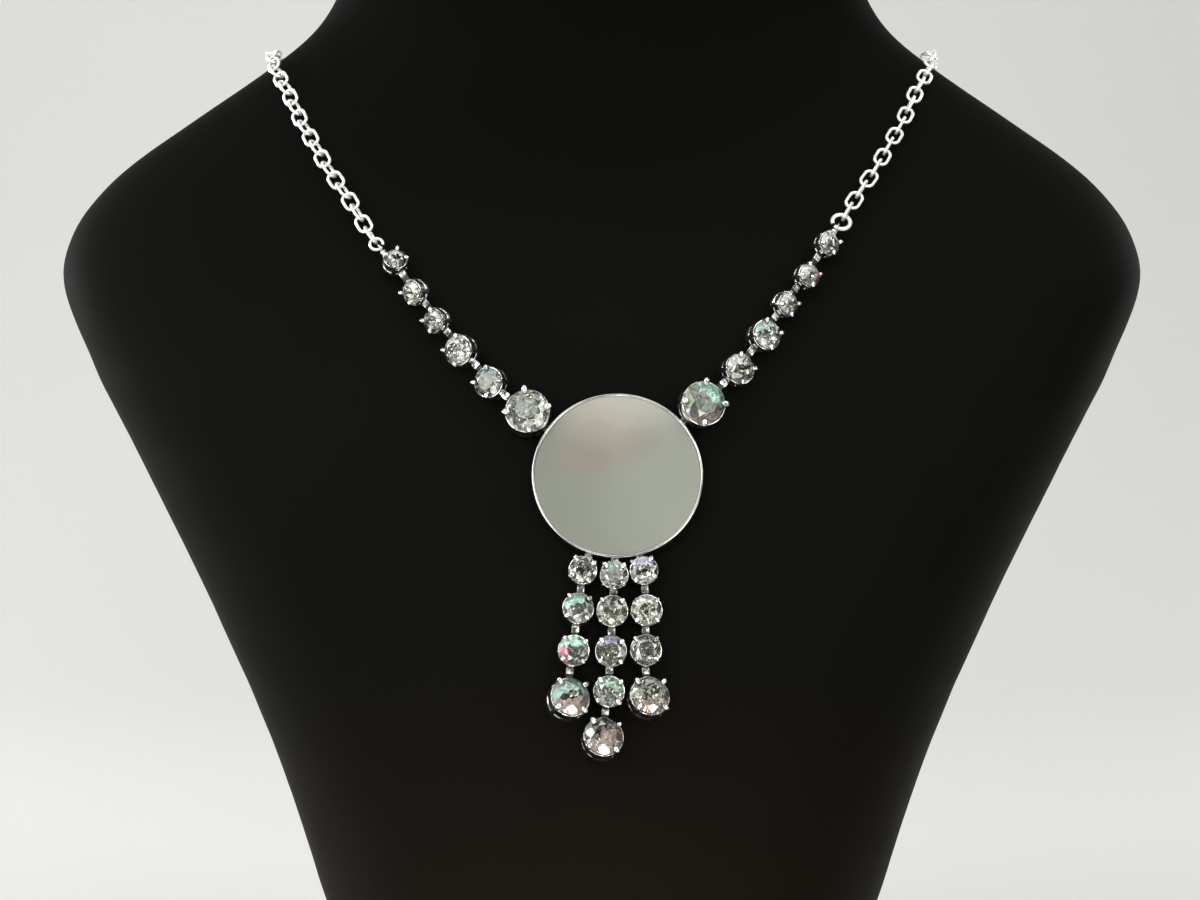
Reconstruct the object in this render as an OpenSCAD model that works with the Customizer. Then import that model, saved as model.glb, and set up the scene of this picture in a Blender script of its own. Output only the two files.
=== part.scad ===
/* [Bust] */
// Points around each section of the bust
bust_points = 60; // [40:4:72]
// Sections between the foot and the top of the neck
bust_rings = 48; // [32:2:60]
// Rounding of the top edge of the neck
neck_round = 5; // [2:0.5:8]
// Rounding of the lower edge of the foot
foot_round = 2; // [1:0.5:4]

/* [Pendant] */
// Diameter of the round pendant
pendant_d = 30; // [28:0.5:31]
// Thickness of the tray
tray_t = 1.7; // [1.5:0.1:2]
// Width of the tray's polished rim
rim_w = 0.45; // [0.35:0.05:0.8]
// Depth of the recess that holds the face
recess = 0.8; // [0.6:0.05:0.9]
// Height of the tray above the chest
tray_gap = 0.45; // [0.4:0.05:0.8]

/* [Stones] */
// Diameter of the three small stones near each chain
small_d = 3.9; // [3.6:0.1:4]
// Diameter of the stones in the top row of the tassel
top_d = 4.6; // [4.2:0.1:4.7]
// Diameter of the middle stones
middle_d = 5.1; // [4.6:0.1:5.1]
// Diameter of the three stones that end the tassel
end_d = 6.6; // [6.2:0.1:6.8]
// Diameter of the two large stones beside the pendant
large_d = 7.5; // [7:0.1:7.5]
// Width of the table as a share of the stone
table_share = 0.56; // [0.5:0.02:0.64]
// Height of the crown as a share of the stone
crown_share = 0.17; // [0.14:0.01:0.2]
// Depth of the pavilion as a share of the stone
pavilion_share = 0.4; // [0.36:0.01:0.43]

/* [Settings] */
// Thickness of the floor of a cup
floor_t = 0.3; // [0.25:0.05:0.4]
// Room in a cup under the point of its stone
cup_deep = 0.6; // [0.4:0.1:0.7]
// How far the wall of a cup stands outside its stone
wall_out = 0.2; // [0.16:0.02:0.24]
// How far the wall of a cup reaches under its stone
wall_in = 0.08; // [0.06:0.01:0.12]
// Width of the connector strips
strip_w = 1.3; // [1:0.1:1.5]
// Thickness of the connector strips
strip_t = 0.3; // [0.25:0.05:0.4]
// Diameter of the ball that holds a strip in the next cup
ball_d = 0.64; // [0.6:0.02:0.7]
// Gap between pieces that are loose in each other
play = 0.12; // [0.11:0.01:0.14]

/* [Chain] */
// Thickness of the chain's wire
wire_d = 0.6; // [0.5:0.05:0.65]
// Inner width of a link
link_w = 1.8; // [1.7:0.1:2]
// Inner length of a link
link_l = 3.1; // [2.9:0.1:3.3]
// Height of the chain's middle above the bust
chain_lift = 1.9; // [1.85:0.05:2.2]

/* [Hidden] */
// Sections of the bust. The front is towards -Y.
// Columns: height, half width, front y, back y, roundness (2 is an ellipse)
BUST = [
    [0, 52.5, -62, 40, 2.2],
    [10, 47.5, -59, 38, 2.2],
    [25, 46, -55, 37, 2.2],
    [45, 52, -49, 38, 2.2],
    [70, 61, -43, 41, 2.2],
    [95, 72.5, -38, 44, 2.2],
    [120, 85.5, -30, 46, 2.2],
    [140, 96, -20, 47, 2.2],
    [155, 101, -10, 49, 2.2],
    [170, 92.6, 1, 51, 2.1],
    [185, 72, 11, 53, 2],
    [198, 54.6, 16, 56, 2],
    [212, 47.5, 16, 58, 2],
    [230, 42, 14, 61, 2],
    [245, 39, 12, 62, 2],
];

// Where the stones sit on the chest, from the pendant outwards.
// Columns: x, height, diameter, lean about the strand, nod along the strand
X = 0;
Z = 1;
D = 2;
LEAN = 3;
NOD = 4;
LEFT = [
    [-12.8, 129.3, large_d, 4, 0],
    [-18.9, 134.7, middle_d, 26, 0],
    [-24, 140, middle_d, 32, 0],
    [-28.4, 145.2, small_d, 42, 0],
    [-32.3, 150.1, small_d, 46, 0],
    [-37.2, 154.8, small_d, -14, 0],
];
RIGHT = [
    [16.9, 130.8, large_d, -16, 0],
    [23.3, 136.8, middle_d, -22, 0],
    [27.9, 142.4, middle_d, -26, 0],
    [31.6, 147.9, small_d, -40, 0],
    [35.8, 152.7, small_d, -30, 0],
    [39.5, 158.1, small_d, -32, 0],
];
DROP_LEFT = [
    [-3.3, 103.2, top_d, 0, 0],
    [-4.2, 96.5, middle_d, 2, -6],
    [-5.2, 89.7, middle_d, 8, -2],
    [-6.4, 81, end_d, 18, -18],
];
DROP_CENTRE = [
    [2.1, 102.6, top_d, 0, 5],
    [1.9, 96.3, middle_d, -3, 0],
    [1.4, 89.8, middle_d, 3, 3],
    [1, 82.8, middle_d, 4, -3],
    [-0.3, 74.2, end_d, 8, -17],
];
DROP_RIGHT = [
    [7.4, 103, top_d, -4, -3],
    [7.5, 96.6, middle_d, 3, 4],
    [7.5, 89.6, middle_d, 0, -5],
    [7.4, 81.2, end_d, 12, -16],
];
STRANDS = [
    ["left", LEFT],
    ["right", RIGHT],
    ["drop_left", DROP_LEFT],
    ["drop_centre", DROP_CENTRE],
    ["drop_right", DROP_RIGHT],
];

// Height of the chain's route at each turn around the bust: 0 is the front, 90 the side, 180 the back
ROUTE = [
    [20, 155.4],
    [26, 164.8],
    [34, 173.2],
    [45, 180.7],
    [57, 186.6],
    [67, 189.4],
    [77, 191.4],
    [90, 192.4],
    [110, 190.5],
    [135, 182],
    [160, 167],
    [180, 163],
    [200, 167],
];
ROUTE_START = [[-1, 21.8], [1, 24.2]];
route_steps = 160;

// The rings that join each chain to its last stone: outer diameter and wire, and the angles
// of their opening and of its middle from the ring's outer end
RING_LEFT = [2.9, 0.55];
RING_RIGHT = [4, 0.75];
ring_opening = 24;
ring_open_at = 148;
eye_d = 1.4;
eye_wire = 0.4;

// Turn of every other link about the strand, on the left and on the right,
// and how far a slack strand turns all its links, away from its ends
EDGE_TURN = [68, 84];
SLACK_TURN = [14, 0];

// The clasp: its ring, its end loop and the wires of both
clasp_d = 5.2;
clasp_wire = 1;
loop_d = 2;
loop_wire = 0.6;
loop_neck = 0.4;

pendant_x = 2.7;
pendant_z = 119.2;

// The cut of the stones
girdle_share = 0.03;
corners = 8;
star_share = 0.78;
lower_share = 0.24;

// The cups: their gap to the chest, their claws and the claws' round tips
cup_gap = 0.3;
wall_clear = 0.16;
claws = 4;
claw_share = 0.075;
claw_least = 0.3;
tip_share = 0.066;
tip_least = 0.42;

// How far the strips bite into what carries them, and their slots in the next cup.
// The larger stones reach deeper, so their slots are higher and their balls further in.
strip_bite = 0.18;
tray_hold = 0.7;
slot_out = 1;
port_spare = 0.1;
port_rise = 0.15;
ball_rise = 0.12;

// Sides of a full circle: rims, rings and wires
rim_sides = 96;
fine = 48;
coarse = 24;

// Steps over which the bust's surface is measured, in degrees and millimetres
step_turn = 0.5;
step_rise = 0.3;

// Angles of the sections in the rounded edges of the foot and the neck
FOOT_ANGLES = [0, 30, 60];
NECK_ANGLES = [20, 37.5, 55, 72.5, 90];

bust_h = BUST[len(BUST) - 1][0];

// A smooth curve through a table: the value in one column at a key of the first column
function step_slope(rows, i, c) = (rows[i + 1][c] - rows[i][c]) / (rows[i + 1][0] - rows[i][0]);
function slope(rows, i, c) =
    i == 0 ? step_slope(rows, 0, c)
    : i == len(rows) - 1 ? step_slope(rows, i - 1, c)
    : let (before = rows[i][0] - rows[i - 1][0], after = rows[i + 1][0] - rows[i][0])
        (step_slope(rows, i - 1, c) * after + step_slope(rows, i, c) * before) / (before + after);
function row_at(rows, key, i = 0) =
    i >= len(rows) - 2 || key < rows[i + 1][0] ? i : row_at(rows, key, i + 1);
function smooth(rows, key, c) =
    let (
        i = row_at(rows, key),
        h = rows[i + 1][0] - rows[i][0],
        t = (key - rows[i][0]) / h,
        u = 1 - t
    )
    rows[i][c] * u * u * (1 + 2 * t) + rows[i + 1][c] * t * t * (3 - 2 * t)
    + h * t * u * (slope(rows, i, c) * u - slope(rows, i + 1, c) * t);

function unit(v) = v / norm(v);
function power(v, p) = sign(v) * pow(abs(v), p);
function flat(v, n) = unit(v - (v * n) * n);

// The bust's surface: a point at a height and a turn from the front, on the side -1 or 1
function section(z) = [for (c = [1 : 4]) smooth(BUST, z, c)];
function section_point(s, z, turn, side, inset = 0) =
    let (middle = (s[1] + s[2]) / 2, depth = (s[2] - s[1]) / 2)
    [
        side * (s[0] - inset) * power(sin(turn), 2 / s[3]),
        middle - (depth - inset) * power(cos(turn), 2 / s[3]),
        z,
    ];
function bust_point(z, turn, side) = section_point(section(z), z, turn, side);
function bust_normal(z, turn, side) =
    let (
        round_it = bust_point(z, turn + step_turn, side) - bust_point(z, turn - step_turn, side),
        up_it = bust_point(z + step_rise, turn, side) - bust_point(z - step_rise, turn, side)
    )
    unit(side * cross(round_it, up_it));
function turn_at(x, z) =
    let (s = section(z))
    asin(pow(abs(x) / s[0], s[3] / 2));
function side_of(x) = x < 0 ? -1 : 1;
function chest_point(x, z) = bust_point(z, turn_at(x, z), side_of(x));
function chest_normal(x, z) = bust_normal(z, turn_at(x, z), side_of(x));

// A frame is an origin and three axes
function tilted(p, x, z, lean, nod) =
    let (
        y = cross(z, x),
        z1 = cos(lean) * z + sin(lean) * y,
        y1 = cos(lean) * y - sin(lean) * z,
        z2 = cos(nod) * z1 + sin(nod) * x,
        x2 = cos(nod) * x - sin(nod) * z1
    )
    [p, x2, y1, z2];
function turned(p, x, z) = [p, x, cross(z, x), z];
module in_frame(f) {
    multmatrix([for (r = [0 : 2]) [f[1][r], f[2][r], f[3][r], f[0][r]]]) children();
}

// Stones and cups
function wall_r(d) = d / 2 + wall_out;
function inner_r(d) = d / 2 - wall_in;
function seat_h(d) = floor_t + cup_deep + wall_clear + d * (pavilion_share + girdle_share / 2);
function port_h(d) = floor_t + play + ball_d / 2 + port_spare + max(0, d - middle_d) * port_rise;
function stone_spot(rows, i) = chest_point(rows[i][X], rows[i][Z]);
function pendant_normal() = chest_normal(pendant_x, pendant_z);
function pendant_frame() =
    let (n = pendant_normal())
    turned(chest_point(pendant_x, pendant_z) + n * tray_gap, flat([1, 0, 0], n), n);
function cup_frame(rows, i) =
    let (
        r = rows[i],
        n = chest_normal(r[X], r[Z]),
        here = stone_spot(rows, i),
        before = i == 0 ? pendant_frame()[0] : stone_spot(rows, i - 1),
        after = i == len(rows) - 1 ? here : stone_spot(rows, i + 1),
        tilt = acos(cos(r[LEAN]) * cos(r[NOD])),
        lift = cup_gap + wall_r(r[D]) * sin(tilt)
    )
    tilted(here + n * lift, flat(after - before, n), n, r[LEAN], r[NOD]);
// The place in a cup's wall that faces a target
function port(f, d, target) =
    f[0] + port_h(d) * f[3] + (d / 2 + (wall_out - wall_in) / 2) * flat(target - f[0], f[3]);
// The place in the pendant's back plate that faces a target
function tray_port(target) =
    let (
        f = pendant_frame(),
        height = min(max((target - f[0]) * f[3], strip_t / 2), (tray_t - recess) / 3)
    )
    f[0] + f[3] * height + (pendant_d / 2 - tray_hold) * flat(target - f[0], f[3]);

// A strip runs from a start to the wall of the cup that holds its ball
function strip_start(rows, i) =
    i == 0 ? tray_port(strip_end(rows, 0))
    : port(cup_frame(rows, i - 1), rows[i - 1][D], cup_frame(rows, i)[0]);
function strip_end(rows, i) =
    port(cup_frame(rows, i), rows[i][D], i == 0 ? pendant_frame()[0] : cup_frame(rows, i - 1)[0]);
function strip_frame(rows, i) =
    let (
        a = strip_start(rows, i),
        b = strip_end(rows, i),
        u = unit(b - a),
        before = i == 0 ? pendant_frame() : cup_frame(rows, i - 1)
    )
    turned(a, u, flat(before[3] + cup_frame(rows, i)[3], u));
function strip_length(rows, i) = norm(strip_end(rows, i) - strip_start(rows, i));
half_wall = (wall_out + wall_in) / 2;
// How far behind the wall the ball starts
function ball_in(d) = 2 * play + max(0, d - middle_d) * ball_rise;

module strip(rows, i) {
    reach = strip_length(rows, i) + half_wall + ball_in(rows[i][D]) + ball_d / 2;
    in_frame(strip_frame(rows, i)) {
        translate([-strip_bite / 2, -strip_w / 2, -strip_t / 2])
            cube([reach + strip_bite / 2, strip_w, strip_t]);
        translate([reach, 0, 0]) sphere(d = ball_d, $fn = coarse);
    }
}

// The opening in a cup's wall for the strip that reaches into it
module strip_slot(rows, i) {
    slot_in = half_wall + play + ball_d;
    in_frame(strip_frame(rows, i))
        translate([strip_length(rows, i) - slot_out, -strip_w / 2 - play, -strip_t / 2 - play])
        cube([slot_out + slot_in, strip_w + 2 * play, strip_t + 2 * play]);
}

module cut_stone(d) {
    r = d / 2;
    crown = d * crown_share;
    pavilion = d * pavilion_share;
    belt = d * girdle_share / 2;
    table_r = r * table_share;
    star_r = r * star_share;
    lower_r = r * lower_share;
    half = 180 / corners;
    star_z = belt + crown * (r - star_r * cos(half)) / (r - table_r);
    lower_z = -belt - pavilion * (1 - lower_r * cos(half) / r);
    function ring(radius, z, shift, count) =
        [for (k = [0 : count - 1]) let (a = 360 * k / count + shift) [radius * cos(a), radius * sin(a), z]];
    points = concat(
        ring(table_r, belt + crown, 0, corners),
        ring(star_r, star_z, half, corners),
        ring(r, belt, 0, 2 * corners),
        ring(r, -belt, 0, 2 * corners),
        ring(lower_r, lower_z, half, corners),
        [[0, 0, -belt - pavilion]]
    );
    star = corners;
    top = 2 * corners;
    under = 4 * corners;
    lower = 6 * corners;
    tip = 7 * corners;
    n = 2 * corners;
    faces = concat(
        [[for (k = [corners - 1 : -1 : 0]) k]],
        [for (k = [0 : corners - 1]) let (next = (k + 1) % corners, last = (k + corners - 1) % corners)
            each [
                [k, next, star + k],
                [k, star + k, top + 2 * k],
                [k, top + 2 * k, star + last],
                [star + k, top + 2 * k + 1, top + 2 * k],
                [star + k, top + 2 * next, top + 2 * k + 1],
                [lower + k, under + 2 * k, under + 2 * k + 1],
                [lower + k, under + 2 * k + 1, under + 2 * next],
                [tip, under + 2 * k, lower + k],
                [tip, lower + last, under + 2 * k],
            ]],
        [for (k = [0 : n - 1]) let (next = (k + 1) % n) each [
            [top + k, top + next, under + next],
            [top + k, under + next, under + k],
        ]]
    );
    polyhedron(points, faces);
}

module stone(rows, i) {
    d = rows[i][D];
    color("gainsboro") in_frame(cup_frame(rows, i)) translate([0, 0, seat_h(d)]) cut_stone(d);
}

// A round cup with claws that reach over the edge of the stone
module cup(d) {
    claw_r = max(claw_least, d * claw_share / 2);
    tip_r = max(tip_least, d * tip_share);
    belt = d * girdle_share / 2;
    steep = atan(crown_share / ((1 - table_share) / 2));
    claw_at = d / 2 + play + claw_r;
    tip_at = d / 2 + play;
    tip_z = seat_h(d) + belt + (tip_r + play - play * sin(steep)) / cos(steep);
    wall_h = seat_h(d) - belt - wall_clear - wall_in;
    difference() {
        cylinder(r = wall_r(d), h = wall_h, $fn = fine);
        translate([0, 0, floor_t]) cylinder(r = inner_r(d), h = wall_h, $fn = fine);
    }
    for (k = [1 : claws])
        rotate([0, 0, 360 * (k - 0.5) / claws]) {
            translate([claw_at, 0, 0]) cylinder(r = claw_r, h = tip_z, $fn = coarse);
            translate([tip_at, 0, tip_z]) sphere(r = tip_r, $fn = coarse);
        }
}

module setting(rows, i, name) {
    color("silver") union() {
        difference() {
            in_frame(cup_frame(rows, i)) cup(rows[i][D]);
            strip_slot(rows, i);
        }
        if (i < len(rows) - 1) strip(rows, i + 1);
        else if (name == "left") eye(rows, -1);
        else if (name == "right") eye(rows, 1);
    }
}

module tray_disc() {
    difference() {
        cylinder(d = pendant_d, h = tray_t, $fn = rim_sides);
        translate([0, 0, tray_t - recess]) cylinder(d = pendant_d - 2 * rim_w, h = tray_t, $fn = rim_sides);
    }
}

module pendant_tray() {
    color("silver") union() {
        in_frame(pendant_frame()) tray_disc();
        for (s = STRANDS) strip(s[1], 0);
    }
}

module pendant_face() {
    color("gainsboro") in_frame(pendant_frame())
        translate([0, 0, tray_t - recess + play])
        cylinder(d = pendant_d - 2 * rim_w - 2 * play, h = recess - 2 * play, $fn = rim_sides);
}

// The chain's route on one side, as rows of distance, point and normal
function start_turn(side) = ROUTE_START[side < 0 ? 0 : 1][1];
function route_rows(side) =
    let (
        first = start_turn(side),
        places = [for (k = [0 : route_steps])
            let (turn = first + (180 - first) * k / route_steps, z = smooth(ROUTE, turn, 1))
            let (n = bust_normal(z, turn, side))
            [bust_point(z, turn, side) + n * chain_lift, n]],
        gone = [for (k = 0, s = 0; k <= route_steps;
            s = s + (k < route_steps ? norm(places[k + 1][0] - places[k][0]) : 0), k = k + 1) s]
    )
    [for (k = [0 : route_steps]) concat([gone[k]], places[k][0], places[k][1])];
function pick(rows, s, c) = lookup(s, [for (r = rows) [r[0], r[c]]]);
function pick_point(rows, s) = [for (c = [1 : 3]) pick(rows, s, c)];
function pick_normal(rows, s) = unit([for (c = [4 : 6]) pick(rows, s, c)]);
function route_length(rows) = rows[len(rows) - 1][0];

function ring_of(side) = side < 0 ? RING_LEFT : RING_RIGHT;
function ring_r(side) = (ring_of(side)[0] - ring_of(side)[1]) / 2;
// How far the clasp reaches along the route on each side, to the middle of its last wire
function clasp_reach(side) = side < 0 ? clasp_d / 2 + loop_neck + loop_d : clasp_d / 2;
function clasp_end_wire(side) = side < 0 ? loop_wire : clasp_wire;
// From the middle of the first link to that of the last, in an even number of steps,
// so that both end links are turned up from the rings that lie flat
function first_link(side) = ring_r(side) - ring_of(side)[1] / 2 - play + link_l / 2;
function last_link(rows, side) =
    route_length(rows) - clasp_reach(side) + clasp_end_wire(side) / 2 + play - link_l / 2;
function link_steps(span) = 2 * ceil(span / (2 * (link_l - play)));

module oval_link() {
    bend_r = (link_w + wire_d) / 2;
    side = link_l - link_w;
    for (end = [-1, 1])
        translate([end * side / 2, 0, 0]) rotate([0, 0, -end * 90])
        rotate_extrude(angle = 180, $fn = fine) translate([bend_r, 0]) circle(d = wire_d, $fn = coarse);
    for (edge = [-1, 1])
        translate([-side / 2, edge * bend_r, 0]) rotate([0, 90, 0])
        cylinder(d = wire_d, h = side, $fn = coarse);
}

// The place of the last cup's exit towards the ring, and the ring's own frame
function eye_start(rows, side, middle) =
    port(cup_frame(rows, len(rows) - 1), rows[len(rows) - 1][D], middle);
function ring_frame(side) =
    let (
        rows = side < 0 ? LEFT : RIGHT,
        turn = start_turn(side),
        z = smooth(ROUTE, turn, 1),
        n = bust_normal(z, turn, side),
        middle = bust_point(z, turn, side) + n * chain_lift,
        u = unit(middle - eye_start(rows, side, middle))
    )
    turned(middle, u, flat(n, u));

module eye(rows, side) {
    f = ring_frame(side);
    start = eye_start(rows, side, f[0]);
    run = norm(f[0] - start) - ring_r(side);
    in_frame([start, f[1], f[2], f[3]]) {
        translate([-strip_bite / 2, -strip_w / 2, -strip_t / 2])
            cube([run - eye_d / 2 + strip_bite / 2, strip_w, strip_t]);
        translate([run, 0, 0]) rotate([90, 0, 0])
            rotate_extrude($fn = fine) translate([eye_d / 2, 0]) circle(d = eye_wire, $fn = coarse);
    }
}

module jump_ring(side) {
    in_frame(ring_frame(side))
        rotate([0, 0, side * ring_open_at + ring_opening / 2])
        rotate_extrude(angle = 360 - ring_opening, $fn = fine)
        translate([ring_r(side), 0]) circle(d = ring_of(side)[1], $fn = coarse);
}

module chain(side) {
    rows = route_rows(side);
    span = last_link(rows, side) - first_link(side);
    steps = link_steps(span);
    step = span / steps;
    color("silver") {
        jump_ring(side);
        for (i = [0 : steps]) {
            edge = i % 2 == 0 ? EDGE_TURN[side < 0 ? 0 : 1] : 0;
            slack = SLACK_TURN[side < 0 ? 0 : 1] * min(1, min(i, steps - i) / 4);
            s = first_link(side) + i * step;
            before = pick_point(rows, s - step / 2);
            after = pick_point(rows, s + step / 2);
            n = pick_normal(rows, s);
            u = unit(after - before);
            in_frame(turned((before + after) / 2, u, flat(n, u)))
                rotate([side * (slack - edge), 0, 0]) oval_link();
        }
    }
}

// The clasp lies flat at the middle of the back
module clasp() {
    z = smooth(ROUTE, 180, 1);
    n = bust_normal(z, 180, 1);
    middle = bust_point(z, 180, 1) + n * chain_lift;
    color("silver") in_frame(turned(middle, [-1, 0, 0], n)) {
        rotate_extrude($fn = fine) translate([clasp_d / 2, 0]) circle(d = clasp_wire, $fn = coarse);
        translate([clasp_d / 2 + loop_neck + loop_d / 2, 0, 0])
            rotate_extrude($fn = fine) translate([loop_d / 2, 0]) circle(d = loop_wire, $fn = coarse);
        translate([clasp_d / 2, 0, 0]) rotate([0, 90, 0])
            cylinder(d = loop_wire, h = loop_neck, $fn = coarse);
    }
}

// Heights of the bust's sections, with closer ones in the two rounded edges
function bust_heights() = concat(
    [for (a = FOOT_ANGLES) foot_round * (1 - cos(a))],
    [for (k = [0 : bust_rings]) foot_round + (bust_h - foot_round - neck_round) * k / bust_rings],
    [for (a = NECK_ANGLES) bust_h - neck_round * (1 - sin(a))]
);
function edge_inset(z) =
    z < foot_round ? foot_round - sqrt(foot_round ^ 2 - (foot_round - z) ^ 2)
    : z > bust_h - neck_round ? neck_round - sqrt(neck_round ^ 2 - (z - bust_h + neck_round) ^ 2)
    : 0;

module bust() {
    heights = bust_heights();
    n = bust_points;
    points = [for (z = heights) let (s = section(z)) for (k = [0 : n - 1])
        section_point(s, z, 360 * k / n, 1, edge_inset(z))];
    last = len(heights) - 1;
    faces = concat(
        [[for (k = [0 : n - 1]) k]],
        [for (j = [0 : last - 1]) for (k = [0 : n - 1]) let (
            a = j * n + k,
            b = j * n + (k + 1) % n
        ) each [[a, a + n, b + n], [a, b + n, b]]],
        [[for (k = [n - 1 : -1 : 0]) last * n + k]]
    );
    color("black") polyhedron(points, faces);
}

bust();
pendant_tray();
pendant_face();
for (s = STRANDS)
    for (i = [0 : len(s[1]) - 1]) {
        stone(s[1], i);
        setting(s[1], i, s[0]);
    }
chain(-1);  // chain_left
chain(1);  // chain_right
clasp();
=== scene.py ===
"""Dresses a rhinestone necklace on its neck bust: cut stones, claw cups, chain, pendant, bust and stage."""

import math
import random

import bmesh
import bpy
import numpy as np
from mathutils import Matrix, Vector


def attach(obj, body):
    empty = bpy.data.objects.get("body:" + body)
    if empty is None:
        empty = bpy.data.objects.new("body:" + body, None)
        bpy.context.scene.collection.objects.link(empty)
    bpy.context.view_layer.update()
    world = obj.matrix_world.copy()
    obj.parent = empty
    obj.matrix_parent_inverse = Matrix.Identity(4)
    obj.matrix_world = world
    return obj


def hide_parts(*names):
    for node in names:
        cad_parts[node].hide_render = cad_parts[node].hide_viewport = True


bl_info = {
    "name": "Rhinestone necklace on a neck bust",
    "version": (1, 0, 0),
    "blender": (4, 5, 0),
    "location": "3D View > Sidebar > Necklace",
    "description": "Cut stones in claw cups, a cable chain, a satin pendant and the black bust they lie on",
    "category": "Object",
}

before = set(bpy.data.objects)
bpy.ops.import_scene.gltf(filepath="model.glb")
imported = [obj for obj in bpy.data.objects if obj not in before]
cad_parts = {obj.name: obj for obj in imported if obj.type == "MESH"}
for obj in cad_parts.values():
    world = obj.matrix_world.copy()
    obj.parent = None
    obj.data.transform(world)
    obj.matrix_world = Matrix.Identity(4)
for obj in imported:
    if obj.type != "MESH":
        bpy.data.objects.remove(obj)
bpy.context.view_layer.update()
BODY = "root"
MM = 0.001

# The strands, from the pendant outwards, and how many stones each has
STRANDS = {"left": 6, "right": 6, "drop_left": 4, "drop_centre": 5, "drop_right": 4}

# Sizes that the pieces share with the solids they stand for: cups and strips, tray and face, links, and clasp
CUP_FLOOR = 0.3 * MM
CUP_DEEP = 0.6 * MM
WALL_OUT = 0.2 * MM
WALL_IN = 0.08 * MM
WALL_CLEAR = 0.16 * MM
PLAY = 0.12 * MM
BALL = 0.64 * MM
STRIP_WIDE = 1.3 * MM
STRIP_THICK = 0.3 * MM
EYE_RING = 1.4 * MM
EYE_WIRE = 0.4 * MM
PORT_SPARE = 0.1 * MM
PORT_RISE = 0.15
MIDDLE_STONE = 5.1 * MM
TRAY_THICK = 1.7 * MM
TRAY_RECESS = 0.8 * MM
TRAY_RIM = 0.45 * MM
TRAY_HOLD = 0.7 * MM
FACE_EDGE = 0.04 * MM
LINK_WIDE = 1.8 * MM
LINK_LONG = 3.1 * MM
LINK_WIRE = 0.6 * MM
CLASP_RING = 5.2 * MM
CLASP_WIRE = 1.0 * MM
CLASP_LOOP = 2.0 * MM
CLASP_LOOP_WIRE = 0.6 * MM
CLASP_NECK = 0.4 * MM

# Points of a solid that lie nearer to each other than this are one point
NEAR = 0.0005 * MM

# Steps round the tray and its face, and round a cup
ROUND_STEPS = 160
CUP_STEPS = 48

# How far a strip reaches into its own cup, the width and thickness of its neck as shares of its own, the neck's
# soft edge, the pad's length and soft edge, and how far along the pad sits in the tassel and in the two runs
BITE = 0.1 * MM
NECK_SHARE = 0.92
NECK_THIN = 0.72
NECK_EDGE = 0.06 * MM
PAD_LONG = 1.2 * MM
PAD_EDGE = 0.07 * MM
PAD_PLACE = 0.12
RUN_PAD_PLACE = 0.75

# The depth of the groove pressed round a cup, the heights of its two slopes as shares of the cup's height, and
# the round of the cup's edges
GROOVE = 0.11 * MM
GROOVE_HEIGHTS = (0.3, 0.37, 0.52, 0.6)
CUP_EDGE = 0.07 * MM

# The round of the tray's edges, and how far the face closes the play of its solid in the tray
TRAY_EDGE = 0.2 * MM
FACE_FILL = 0.07 * MM

# The opening of a jump ring, and the steps round it
RING_OPENING = math.radians(24)
RING_STEPS = 43

# The cut of a stone, as shares of its diameter
TABLE = 0.56
CROWN = 0.17
PAVILION = 0.4
GIRDLE = 0.03
CORNERS = 8
STAR = 0.78
# How far out the eight main facets of a stone's back meet the sixteen under its girdle
BACK_MEET = 0.62
# The size of the middle of a table, inside the eight parts that flash on their own
CORE = 0.5

# How far a claw and its tip stand out from the stone, how far the tip clears the crown, how much larger the tip of
# a larger stone's claw is, how round a tip is along its three axes, and the least and most of its uneven size
CLAW_STAND = 0.42 * MM
TIP_OUT = -0.08 * MM
TIP_CLEAR = 0.03 * MM
TIP_GROWTH = 0.07
TIP_SHAPE = (1.3, 0.95, 0.75)
TIP_UNEVEN = (0.82, 1.18)

# Where each material stands in the list of its piece
FRONT = 0
BACK = 1
PAD = 1
NECK = 2

# How much of each kind of facet its coat covers, and how light the facets of the back are, in painted reflections
COATED = {"core": 0.0, "table": 0.05, "star": 0.06, "kite": 0.08, "girdle": 0.08, "edge": 0.2, "back": 0.0}
FOIL_LEVELS = (0.25, 0.6, 0.9, 1.0, 1.0, 1.0)

# How many of the crown's facets get a painted glint or, of the rest, a painted dark reflection, and the least and most
# that their coat covers
GLINTS = 0.3
DARKS = 0.2
GLINT_SHARES = (0.4, 0.85)
DARK_SHARES = (0.5, 0.9)

# The tones of the faint coat on the other facets, some of them more than once
SOFT_FLASHES = ("mint", "lilac", "white", "white", "white", "white")

# The stones whose tables look milky, and how much
MILKY = {"left_1": 1.3, "left_2": 0.9, "right_1": 0.7, "drop_centre_1": 0.85, "drop_centre_2": 0.15,
         "drop_centre_3": 0.2, "drop_centre_4": 0.25, "drop_left_2": 0.3, "drop_left_3": 0.2, "drop_right_3": 0.15}
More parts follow.
